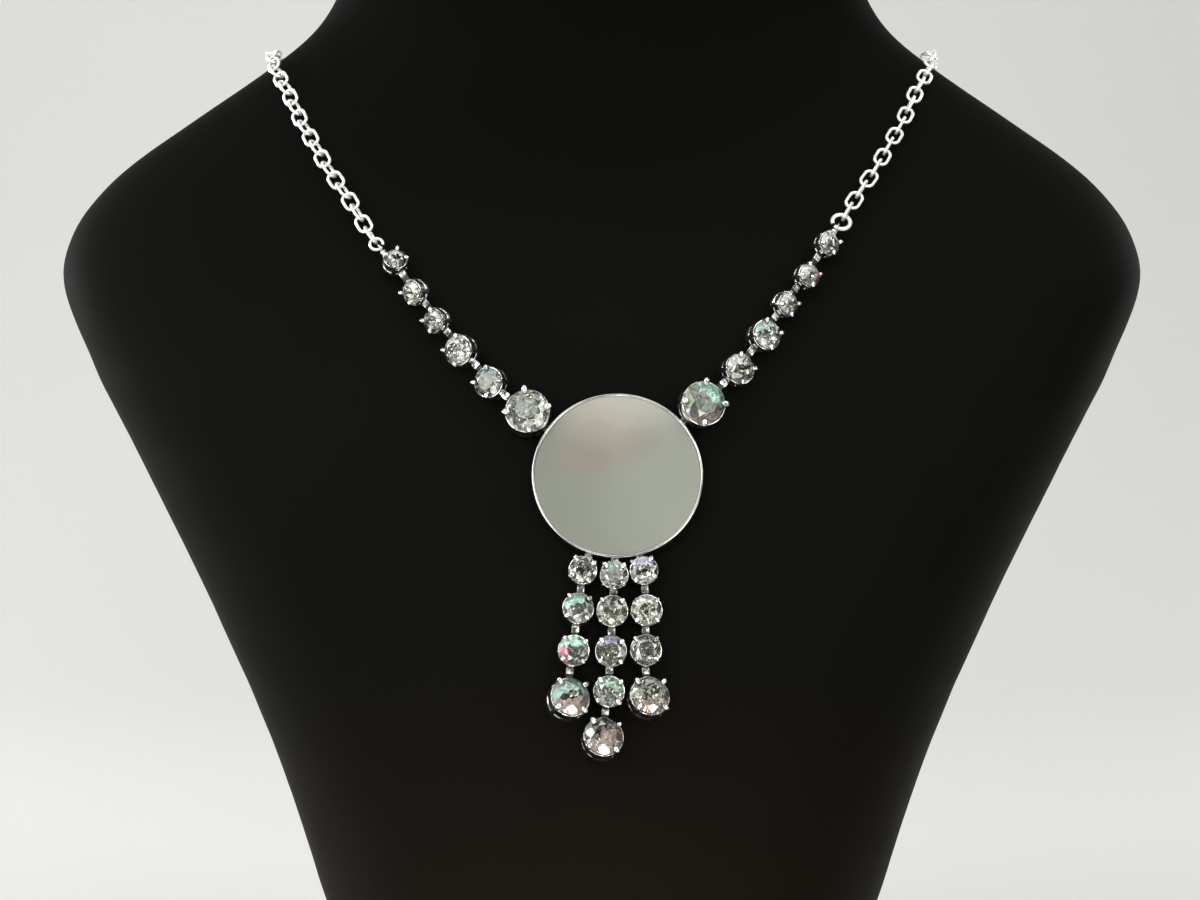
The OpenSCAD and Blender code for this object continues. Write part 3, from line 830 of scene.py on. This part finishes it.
def claw_tree():
    """A ring of claws: each bends in over the stone and ends in a rounded tip."""
    sizes = {"Stone radius": "Float", "Claw width": "Float", "Claw thickness": "Float", "Tip radius": "Float",
             "Tip height": "Float", "Claws": "Int", "Seed": "Int", "Material": "Material"}
    graph, given = new_tree("claw_ring", sizes)
    stone = given["Stone radius"]
    top = given["Tip height"]
    values = {"Resolution": 12, "Start": graph.vector(X=stone + WALL_OUT, Z=CUP_FLOOR * 0.4),
              "Start Handle": graph.vector(X=stone + CLAW_STAND, Z=top * 0.62),
              "End Handle": graph.vector(X=stone + CLAW_STAND, Z=top * 0.94),
              "End": graph.vector(X=stone + TIP_OUT, Z=top)}
    line = graph.add("GeometryNodeCurvePrimitiveBezierSegment", values)["Curve"]
    round_one = graph.add("GeometryNodeCurvePrimitiveCircle", {"Resolution": 10, "Radius": 1.0})["Curve"]
    scale = graph.vector(X=given["Claw width"] * 0.5, Y=given["Claw thickness"] * 0.5, Z=1.0)
    section = graph.add("GeometryNodeTransform", {"Geometry": round_one, "Scale": scale})["Geometry"]
    taper = 1.0 - graph.add("GeometryNodeSplineParameter")["Factor"] * 0.2
    claw = graph.add("GeometryNodeCurveToMesh",
                     {"Curve": line, "Profile Curve": section, "Scale": taper, "Fill Caps": True})["Mesh"]
    ball = graph.add("GeometryNodeMeshUVSphere", {"Segments": 14, "Rings": 9, "Radius": given["Tip radius"]})
    tip = graph.add("GeometryNodeTransform", {"Geometry": ball["Mesh"], "Scale": TIP_SHAPE})["Geometry"]
    posts = graph.add("GeometryNodePoints", {"Count": given["Claws"]})["Points"]
    number = graph.add("GeometryNodeInputIndex")["Index"]
    angle = (number + 0.5) * (2 * math.pi) / given["Claws"]
    turn = graph.vector(Z=angle)
    ring = graph.add("GeometryNodeInstanceOnPoints", {"Points": posts, "Instance": claw, "Rotation": turn})
    values = {2: TIP_UNEVEN[0], 3: TIP_UNEVEN[1], 8: given["Seed"]}
    uneven = graph.add("FunctionNodeRandomValue", values, data_type="FLOAT")[1]
    reach = stone + TIP_OUT
    ends = graph.vector(X=angle.math("COSINE", angle) * reach, Y=angle.math("SINE", angle) * reach, Z=top)
    spots = graph.add("GeometryNodeSetPosition", {"Geometry": posts, "Offset": ends})["Geometry"]
    tips = graph.add("GeometryNodeInstanceOnPoints",
                     {"Points": spots, "Instance": tip, "Rotation": turn, "Scale": uneven})
    join = graph.add("GeometryNodeJoinGeometry")
    for part in (ring, tips):
        graph.tree.links.new(part["Instances"].socket, join.node.inputs[0])
    set_out(graph, join["Geometry"], given)
    return graph.tree


def grown(tree, places, values):
    """Runs a tree on a set of places and gives the result as a plain mesh."""
    base = bpy.data.meshes.new("places")
    base.from_pydata([tuple(place.origin) for place in places], [], [])
    for name, number in (("along", 0), ("outwards", 2)):
        layer = base.attributes.new(name, "FLOAT_VECTOR", "POINT")
        layer.data.foreach_set("vector", [c for place in places for c in place.axis(number)])
    holder = linked("holder", base)
    modifier = holder.modifiers.new("tree", "NODES")
    modifier.node_group = tree
    for item in tree.interface.items_tree:
        if item.in_out == "INPUT" and item.name in values:
            modifier[item.identifier] = values[item.name]
    seen = holder.evaluated_get(bpy.context.evaluated_depsgraph_get())
    mesh = bpy.data.meshes.new_from_object(seen)
    holder.modifiers.remove(modifier)
    bpy.data.objects.remove(holder)
    for name in ("along", "outwards"):
        if name in mesh.attributes:
            mesh.attributes.remove(mesh.attributes[name])
    mesh.materials.clear()
    return mesh


def brilliant(radius):
    """A round stone with a table, stars, kites and girdle facets over a pointed back.

    Gives its points, its faces, and each face's kind.
    """
    size = 2 * radius
    belt = size * GIRDLE / 2
    crown = size * CROWN
    back = size * PAVILION
    half = math.pi / CORNERS
    table = radius * TABLE
    star = radius * STAR
    star_height = belt + crown * (radius - star * math.cos(half)) / (radius - table)
    meet = radius * BACK_MEET
    meet_height = -belt - back * (1 - BACK_MEET * math.cos(half))
    points = []

    def ring(reach, height, shift, count):
        first = len(points)
        points.extend(on_circle(reach, 2 * math.pi * k / count + shift, height) for k in range(count))
        return [first + k for k in range(count)]

    cores = ring(table * CORE, belt + crown, 0.0, CORNERS)
    tables = ring(table, belt + crown, 0.0, CORNERS)
    stars = ring(star, star_height, half, CORNERS)
    upper = ring(radius, belt, 0.0, 4 * CORNERS)
    under = ring(radius, -belt, 0.0, 4 * CORNERS)
    meets = ring(meet, meet_height, half, CORNERS)
    points.append((0.0, 0.0, -belt - back))
    culet = len(points) - 1

    faces = [tuple(cores)]
    kinds = ["core"]

    def face(kind, *corners):
        faces.append(corners)
        kinds.append(kind)

    round_count = len(upper)
    for k in range(CORNERS):
        after = (k + 1) % CORNERS
        last = (k - 1) % CORNERS
        rim = 4 * k
        face("table", cores[k], tables[k], tables[after], cores[after])
        face("star", tables[k], stars[k], tables[after])
        face("kite", tables[k], stars[last], upper[rim], stars[k])
        face("girdle", stars[k], upper[rim], upper[rim + 1], upper[rim + 2])
        face("girdle", stars[k], upper[rim + 2], upper[(rim + 3) % round_count], upper[(rim + 4) % round_count])
        face("back", culet, meets[k], under[rim], meets[last])
        face("back", meets[k], under[rim + 2], under[rim + 1], under[rim])
        face("back", meets[k], under[(rim + 4) % round_count], under[(rim + 3) % round_count], under[rim + 2])
    for k in range(round_count):
        after = (k + 1) % round_count
        face("edge", upper[k], under[k], under[after], upper[after])
    return points, faces, kinds


def facet_coat(kind, name, out, colours, draw):
    """How much of a facet of a stone its coat covers, and the coat's colour; out is where the facet lies."""
    share = COATED[kind] * draw.uniform(0.2, 1.6)
    colour = colours[draw.choice(SOFT_FLASHES)]
    # Painted reflections: each facet of the back at its own level of the foil's colour
    if kind == "back":
        return share, rgb(colours["foil"], draw.choice(FOIL_LEVELS))
    if kind in ("table", "core"):
        share += MILKY.get(name, 0.0) * draw.uniform(0.8, 1.2)
        colour = colours["milk"]
    # Painted glints in white, and painted dark reflections
    elif draw.random() < GLINTS:
        share = draw.uniform(*GLINT_SHARES)
        colour = colours["white"]
    elif draw.random() < DARKS:
        share = draw.uniform(*DARK_SHARES)
        colour = colours["dark"]
    # Painted reflections in the coat's tones
    for tone, angle, least, strength in FLASHES.get(name, ()):
        turn = math.radians(angle)
        if out.x * math.cos(turn) + out.z * math.sin(turn) > least:
            share = strength * draw.uniform(0.85, 1.1)
            colour = colours[tone]
    # The spark: a painted glint
    if name in SPARKS and math.dist((out.x, out.z), SPARKS[name][:2]) < SPARKS[name][2]:
        share = SPARK_SHARE
        colour = colours["cream"]
    return share, rgb(colour)


def stone_mesh(place, name, colours):
    """A stone in its place, with the share and the colour of each facet's coat."""
    points, faces, kinds = brilliant(place.radius)
    mesh = mesh_from(points, faces, smooth=False)
    mesh.transform(place.matrix())
    mesh.update()
    draw = random.Random(name)
    shares = []
    tints = []
    for polygon, kind in zip(mesh.polygons, kinds):
        polygon.material_index = BACK if kind == "back" else FRONT
        share, tint = facet_coat(kind, name, (polygon.center - place.origin) / place.radius, colours, draw)
        shares.append(share)
        tints += tint * polygon.loop_total
    mesh.attributes.new("flash_share", "FLOAT", "FACE").data.foreach_set("value", shares)
    mesh.color_attributes.new("flash_colour", "FLOAT_COLOR", "CORNER").data.foreach_set("color", tints)
    return mesh


def cup_mesh(radius):
    """A round cup: a rolled foot, a pressed groove and a turned-in lip."""
    out = radius + WALL_OUT
    inside = radius - WALL_IN
    high = seat_height(radius) - radius * GIRDLE - WALL_CLEAR - WALL_IN
    start, low, top, end = (high * share for share in GROOVE_HEIGHTS)
    profile = [(0.0, 0.0), (out, 0.0), (out, start), (out - GROOVE, low), (out - GROOVE, top), (out, end),
               (out, high), (inside, high), (inside, CUP_FLOOR), (0.0, CUP_FLOOR)]
    return turned(rounded(profile, CUP_EDGE, 2), CUP_STEPS)


def strip_parts(strip, reach, pad_place=PAD_PLACE):
    """A connector strip: a thin neck with a flat pad on it, soft at its edges, which shows between two cups."""
    size = (reach + BITE, STRIP_WIDE * NECK_SHARE, STRIP_THICK * NECK_THIN)
    neck = soft_box(size, NECK_EDGE, slot=NECK)
    long = min(PAD_LONG, reach * 0.6)
    pad = soft_box((long, STRIP_WIDE, STRIP_THICK), PAD_EDGE, 3)
    return [(neck, strip.moved(x=-BITE, z=-STRIP_THICK * (1 - NECK_THIN) / 2).matrix()),
            (pad, strip.moved(x=(reach - BALL / 2 - long) * pad_place).matrix())]


def strip_reach(strip):
    """A strip's length, with the part of it that lies inside the next cup."""
    return strip.radius + (WALL_OUT + WALL_IN) / 2 + PLAY * 2 + BALL / 2


def eye_parts(cup, ring):
    """The strip with a small ring on its end that the chain's jump ring hangs in."""
    start = port(cup, ring.origin)
    run = run_between(start, ring.origin, ring.axis(2), ring.axis(2))
    reach = run.radius - ring.radius
    tab = soft_box((reach - EYE_RING / 2 + BITE, STRIP_WIDE * 0.8, STRIP_THICK), PAD_EDGE)
    hoop = tube(circle_points(EYE_RING / 2, 24), EYE_WIRE / 2, 10, closed=True)
    stood = run.moved(x=reach).matrix() @ Matrix.Rotation(math.pi / 2, 4, "X")
    return [(tab, run.moved(x=-BITE).matrix()), (hoop, stood)]


def length_property(name, description, default, least, most):
    """A length, given in millimetres."""
    return bpy.props.FloatProperty(name=name, description=description, default=default * MM, min=least * MM,
                                   max=most * MM, subtype="DISTANCE")


def count_property(name, description, default, least, most):
    return bpy.props.IntProperty(name=name, description=description, default=default, min=least, max=most)


class NecklaceSizes(bpy.types.PropertyGroup):
    """Sizes of the fine metalwork."""

    claw_width: length_property("Claw width", "Width of a claw at its foot", 0.9, 0.3, 1.0)
    claw_thickness: length_property("Claw thickness", "Thickness of a claw", 0.34, 0.2, 0.5)
    claw_tip: length_property("Claw tip", "Radius of a claw's tip, before its share of the stone's", 0.25, 0.2, 0.5)
    claws: count_property("Claws", "Claws on each cup", 4, 3, 6)
    link_sides: count_property("Link sides", "Sides of a link's wire", 10, 6, 16)
    link_steps: count_property("Link steps", "Steps around a link", 32, 16, 48)
    face_dome: length_property("Face dome", "Rise of the pendant's face in its middle", 0.1, 0.0, 0.3)


def colour_property(name, description, default):
    return bpy.props.FloatVectorProperty(name=name, description=description, default=default, min=0.0, max=1.0,
                                         subtype="COLOR")


class NecklaceColours(bpy.types.PropertyGroup):
    """Colours of the finishes."""

    bust: colour_property("Bust", "Satin black of the bust", (0.0019, 0.0019, 0.0014))
    metal: colour_property("Metal", "Silver plate of the cups", (0.87, 0.87, 0.84))
    rim: colour_property("Rim", "Plate of the pendant's rim", (0.72, 0.72, 0.7))
    # Painted shade: the tassel's pads are the same plate as the runs' pads, painted darker
    strip: colour_property("Strips", "Duller plate of the pads in the tassel", (0.44, 0.45, 0.4))
    # Painted shade: the necks between the pads are painted near black, where they lie in shadow
    painted_neck_shade: colour_property("Painted_neck_shade", "Dark plate of the necks between the pads", (0.05, 0.05, 0.045))
    bright: colour_property("Bright metal", "Silver plate of the chain and of the runs' pads", (0.96, 0.96, 0.94))
    warm: colour_property("Face, warm side", "Warm side of the pendant's face", (0.285, 0.25, 0.212))
    cool: colour_property("Face, cool side", "Cool side of the pendant's face", (0.322, 0.338, 0.29))
    # The colour of the painted sheen on top of the pendant's face
    light: colour_property("Face, top", "Palest part of the pendant's face", (0.46, 0.445, 0.39))
    clear: colour_property("Crystal", "Clear crystal", (0.99, 1.0, 0.95))
    foil: colour_property("Foil", "Silvering behind the stones", (0.98, 0.98, 0.91))
    # The flash tones, the spark's glint, the white glints and the dark facets below are painted reflections
    mint: colour_property("Mint flash", "Mint facets", (0.49, 0.78, 0.64))
    sky: colour_property("Sky flash", "Pale blue facets", (0.43, 0.6, 0.57))
    rose: colour_property("Rose flash", "Rose facets", (0.85, 0.35, 0.45))
    lilac: colour_property("Lilac flash", "Lilac facets", (0.68, 0.68, 0.95))
    peach: colour_property("Peach flash", "Peach facets", (0.45, 0.345, 0.32))
    cream: colour_property("Cream flash", "Cream facets", (1.0, 0.94, 0.88))
    white: colour_property("White flash", "White facets", (0.95, 0.96, 0.92))
    milk: colour_property("Milky tables", "Tables with a milky look", (0.27, 0.285, 0.26))
    moss: colour_property("Moss flash", "Dull green facets", (0.3, 0.37, 0.27))
    dark: colour_property("Dark facets", "Facets that mirror the dark bust", (0.07, 0.07, 0.06))
    floor: colour_property("Floor", "Floor and backdrop", (0.62, 0.62, 0.6))
    glow: colour_property("Low light", "The warm light from below", (1.0, 0.8, 0.7))


class Dressing(bpy.types.Operator):
    """What every operator here shares."""

    bl_options = {"REGISTER", "UNDO"}

    def execute(self, context):
        self.make(context.scene.necklace_sizes, context.scene.necklace_colours)
        return {"FINISHED"}


class NECKLACE_OT_bust(Dressing):
    """Make the smooth neck bust from the rings of its solid"""

    bl_idname = "necklace.bust"
    bl_label = "Neck bust"

    def make(self, sizes, colours):
        points = corners_of("bust")
        heights = sorted(set(round(float(z), 6) for z in points[:, 2]))
        rings = []
        level = 0.002 * MM
        for height in heights:
            ring = points[abs(points[:, 2] - height) < level]
            middle = (ring.max(0) + ring.min(0)) / 2
            angles = np.arctan2(ring[:, 1] - middle[1], ring[:, 0] - middle[0])
            rings.append([tuple(p) for p in ring[np.argsort(angles)]])
        count = len(rings[0])
        if any(len(ring) != count for ring in rings):
            raise RuntimeError("the bust's rings differ in their number of points")
        made = [p for ring in rings for p in ring]
        numbers = [range(j * count, (j + 1) * count) for j in range(len(rings))]
        faces = [face for low, high in zip(numbers, numbers[1:]) for face in band(low, high)]
        faces += self.cap(made, rings[0], 0, down=True)
        faces += self.cap(made, rings[-1], (len(rings) - 1) * count, down=False)
        mesh = mesh_from(made, faces)
        bust = piece("neck_bust", [(mesh, STAY)], ["bust"], [satin_black(colours.bust)])
        smooth = bust.modifiers.new("smooth", "SUBSURF")
        smooth.levels = smooth.render_levels = 2

    @staticmethod
    def cap(made, ring, first, down):
        """Closes an end with two smaller rings and a middle point."""
        count = len(ring)
        middle = sum((Vector(p) for p in ring), Vector()) / count
        faces = []
        outer = list(range(first, first + count))
        for share in (0.9, 0.45):
            inner = list(range(len(made), len(made) + count))
            made += [tuple(middle.lerp(Vector(p), share)) for p in ring]
            faces += band(outer, inner)
            outer = inner
        made.append(tuple(middle))
        faces += [(outer[k], outer[(k + 1) % count], len(made) - 1) for k in range(count)]
        return [tuple(reversed(face)) for face in faces] if down else faces


class NECKLACE_OT_pendant(Dressing):
    """Make the pendant's tray with its polished rim, and the satin face in it"""

    bl_idname = "necklace.pendant"
    bl_label = "Pendant"

    def make(self, sizes, colours):
        tray = tray_place()
        outer = tray.radius
        inner = outer - TRAY_RIM
        plate = TRAY_THICK - TRAY_RECESS
        profile = [(0.0, 0.0), (outer, 0.0), (outer, TRAY_THICK), (inner, TRAY_THICK), (inner, plate), (0.0, plate)]
        parts = [(turned(rounded(profile, TRAY_EDGE, 6), ROUND_STEPS), tray.matrix())]
        for strand in STRANDS:
            cups = cup_places(strand)
            strip = strip_into(0, cups)
            parts += strip_parts(strip, strip_reach(strip))
        rim_metal = silver_plate("polished_rim", colours.rim, 0.15, filmed=0.2, dented=0.03)
        finishes = [rim_metal] + strip_finishes("tray", colours.strip, colours.painted_neck_shade)
        piece("round_tray", parts, ["pendant_tray"], finishes)

        face = face_place()
        thick = TRAY_RECESS - 2 * PLAY
        rings = 14
        wide = face.radius + FACE_FILL
        profile = [(0.0, -thick / 2), (wide, -thick / 2), (wide, thick / 2 - FACE_EDGE), (wide - FACE_EDGE, thick / 2)]
        for k in range(rings + 1):
            share = 1 - k / rings
            rise = sizes.face_dome * (1 - share * share)
            profile.append((share * (wide - FACE_EDGE * 1.01), thick / 2 + rise))
        pearl = satin_pearl(colours.warm, colours.cool, colours.light, face)
        disc = turned(profile, ROUND_STEPS)
        piece("satin_face", [(disc, face.matrix())], ["pendant_face"], [pearl])


class NECKLACE_OT_stones(Dressing):
    """Make the cut stones, each with its own flashes"""

    bl_idname = "necklace.stones"
    bl_label = "Stones"

    def make(self, sizes, colours):
        crystal = cut_crystal(colours.clear)
        foil = mirror_foil()
        names = ("mint", "moss", "sky", "rose", "lilac", "peach", "cream", "white", "milk", "dark", "foil")
        tones = {name: tuple(getattr(colours, name)) for name in names}
        for strand in STRANDS:
            for number, place in enumerate(strand_places(strand), 1):
                name = f"{strand}_{number}"
                mesh = stone_mesh(place, name, tones)
                piece(f"crystal_{name}", [(mesh, STAY)], [f"stone_{name}"], [crystal, foil])


class NECKLACE_OT_cups(Dressing):
    """Make the claw cups with their connector strips"""

    bl_idname = "necklace.cups"
    bl_label = "Claw cups"

    def make(self, sizes, colours):
        metal = silver_plate("cup_silver", colours.metal, 0.13, painted_dark_share=0.75)
        hung = [metal] + strip_finishes("hung", colours.strip, colours.painted_neck_shade)
        run = [metal] + strip_finishes("run", colours.bright, colours.painted_neck_shade)
        tree = claw_tree()
        for strand, count in STRANDS.items():
            cups = cup_places(strand)
            hangs = strand.startswith("drop")
            for number, cup in enumerate(cups):
                claws = self.claws(tree, cup, number, sizes, metal)
                parts = [(cup_mesh(cup.radius), cup.matrix()), (claws, STAY)]
                if number < count - 1:
                    strip = strip_into(number + 1, cups)
                    parts += strip_parts(strip, strip_reach(strip), PAD_PLACE if hangs else RUN_PAD_PLACE)
                elif not hangs:
                    parts += eye_parts(cup, chain_links(strand)[1])
                name = f"{strand}_{number + 1}"
                piece(f"claw_cup_{name}", parts, [f"setting_{name}"], hung if hangs else run)

    @staticmethod
    def claws(tree, cup, number, sizes, metal):
        slope = math.atan(CROWN / ((1 - TABLE) / 2))
        tip = sizes.claw_tip + cup.radius * TIP_GROWTH
        rest = (tip + TIP_CLEAR - TIP_OUT * math.sin(slope)) / math.cos(slope)
        values = {"Stone radius": cup.radius, "Claw width": sizes.claw_width, "Claw thickness": sizes.claw_thickness,
                  "Tip radius": tip, "Tip height": seat_height(cup.radius) + cup.radius * GIRDLE + rest,
                  "Claws": sizes.claws, "Seed": number, "Material": metal}
        return grown(tree, [cup], values)


class NECKLACE_OT_chain(Dressing):
    """Make the two halves of the cable chain with their jump rings"""

    bl_idname = "necklace.chain"
    bl_label = "Cable chain"

    def make(self, sizes, colours):
        metal = silver_plate("chain_silver", colours.bright, 0.22, filmed=0.2, metallic=0.6)
        tree = link_tree()
        for side in ("left", "right"):
            links, ring = chain_links(side)
            values = {"Wire": LINK_WIRE, "Inner width": LINK_WIDE, "Inner length": LINK_LONG,
                      "Steps": sizes.link_steps, "Sides": sizes.link_sides, "Material": metal}
            arc = circle_points(ring.radius, RING_STEPS, RING_OPENING / 2, 2 * math.pi - RING_OPENING)
            arc += circle_points(ring.radius, 1, -RING_OPENING / 2)
            parts = [(grown(tree, links, values), STAY), (tube(arc, ring.wire / 2, 14), ring.matrix())]
            piece(f"cable_{side}", parts, [f"chain_{side}"], [metal])


class NECKLACE_OT_clasp(Dressing):
    """Make the plain ring clasp at the back"""

    bl_idname = "necklace.clasp"
    bl_label = "Clasp"

    def make(self, sizes, colours):
        place = clasp_place()
        metal = silver_plate("clasp_silver", colours.metal, 0.14)
        ring = tube(circle_points(CLASP_RING / 2, 72), CLASP_WIRE / 2, 18, closed=True)
        loop = tube(circle_points(CLASP_LOOP / 2, 36), CLASP_LOOP_WIRE / 2, 12, closed=True)
        start = CLASP_RING / 2
        neck = tube([Vector((start + CLASP_NECK * k / 4, 0.0, 0.0)) for k in range(5)], CLASP_LOOP_WIRE / 2, 12)
        parts = [(ring, place.matrix()), (neck, place.matrix()),
                 (loop, place.moved(x=start + CLASP_NECK + CLASP_LOOP / 2).matrix())]
        piece("ring_clasp", parts, ["clasp"], [metal])


class NECKLACE_OT_stage(Dressing):
    """Make the floor, the soft lights and the camera at the photograph's angle"""

    bl_idname = "necklace.stage"
    bl_label = "Stage"

    def make(self, sizes, colours):
        self.floor(colours)
        self.world()
        bpy.context.scene.view_settings.view_transform = "Standard"
        aim = Vector(MIDDLE)
        for number, (turn, rise, size, power) in enumerate(PANELS):
            turn, rise = math.radians(turn), math.radians(rise)
            towards = Vector((math.sin(turn) * math.cos(rise), -math.cos(turn) * math.cos(rise), math.sin(rise)))
            self.light(f"panel_{number}", aim + towards, aim, size, size, power)
        self.light("spark", *SPARK_LIGHT, colours.glow, SPARK_SPREAD)
        for name, lamp in LAMPS.items():
            self.light(name, *lamp)
        self.camera()

    @staticmethod
    def floor(colours):
        front, back, wide, bend, high = -1.6, 1.1, 2.2, 0.6, 1.8
        line = [(front, 0.0), (back - bend, 0.0)]
        line += [(back - bend + bend * math.sin(a), bend - bend * math.cos(a))
                 for a in (math.pi / 2 * k / 16 for k in range(1, 17))]
        line.append((back, high))
        points = [(x, y, z) for x in (-wide, wide) for y, z in line]
        count = len(line)
        faces = [(k, k + count, k + count + 1, k + 1) for k in range(count - 1)]
        sheet = linked("floor", mesh_from(points, faces))
        sheet.data.materials.append(pale_floor(colours.floor))

    @staticmethod
    def world():
        world = bpy.data.worlds.new("studio")
        bpy.context.scene.world = world
        world.use_nodes = True
        world.node_tree.nodes.clear()
        graph = Graph(world.node_tree)
        light = graph.add("ShaderNodeBackground", {"Color": (0.97, 1.0, 0.93, 1.0), "Strength": 0.16})
        graph.add("ShaderNodeOutputWorld", {"Surface": light["Background"]})

    @staticmethod
    def light(name, place, aim, wide, high, power, colour=(1.0, 1.0, 1.0), spread=math.pi):
        lamp = bpy.data.lights.new(name, "AREA")
        lamp.shape = "RECTANGLE"
        lamp.size = wide
        lamp.size_y = high
        lamp.energy = power
        lamp.color = colour
        lamp.spread = spread
        obj = linked(name, lamp)
        obj.location = place
        obj.rotation_euler = (Vector(aim) - Vector(place)).to_track_quat("-Z", "Y").to_euler()
        obj.visible_camera = False

    @staticmethod
    def camera():
        """Stands where the middle of the pendant falls on its pixel of the photograph."""
        lens, sensor, distance, above = 120.0, 36.0, 0.7, math.radians(5)
        pixels = lens / sensor * PHOTO_WIDE
        ahead = Vector((0.0, math.cos(above), -math.sin(above)))
        up = Vector((0.0, math.sin(above), math.cos(above)))
        right = Vector((1.0, 0.0, 0.0))
        across = (PENDANT_PIXEL[0] - PHOTO_WIDE / 2) * distance / pixels
        down = (PENDANT_PIXEL[1] - PHOTO_HIGH / 2) * distance / pixels
        data = bpy.data.cameras.new("camera")
        data.lens = lens
        data.sensor_width = sensor
        data.clip_start = 0.01
        camera = linked("camera", data)
        camera.location = face_place().origin - ahead * distance - right * across + up * down
        camera.rotation_euler = ahead.to_track_quat("-Z", "Y").to_euler()
        bpy.context.scene.camera = camera


OPERATORS = (NECKLACE_OT_bust, NECKLACE_OT_pendant, NECKLACE_OT_stones, NECKLACE_OT_cups, NECKLACE_OT_chain,
             NECKLACE_OT_clasp, NECKLACE_OT_stage)


class NECKLACE_PT_panel(bpy.types.Panel):
    """The necklace's pieces, one button each"""

    bl_idname = "NECKLACE_PT_panel"
    bl_label = "Rhinestone necklace"
    bl_space_type = "VIEW_3D"
    bl_region_type = "UI"
    bl_category = "Necklace"

    def draw(self, context):
        for operator in OPERATORS:
            self.layout.operator(operator.bl_idname)
        for group in (context.scene.necklace_sizes, context.scene.necklace_colours):
            for name in group.__annotations__:
                self.layout.prop(group, name)


CLASSES = (NecklaceSizes, NecklaceColours) + OPERATORS + (NECKLACE_PT_panel,)


def register():
    for one in CLASSES:
        bpy.utils.register_class(one)
    bpy.types.Scene.necklace_sizes = bpy.props.PointerProperty(type=NecklaceSizes)
    bpy.types.Scene.necklace_colours = bpy.props.PointerProperty(type=NecklaceColours)


def unregister():
    del bpy.types.Scene.necklace_colours
    del bpy.types.Scene.necklace_sizes
    for one in reversed(CLASSES):
        bpy.utils.unregister_class(one)


def main():
    register()
    for operator in OPERATORS:
        name = operator.bl_idname.split(".")[1]
        getattr(bpy.ops.necklace, name)()


if __name__ == "__main__":
    main()
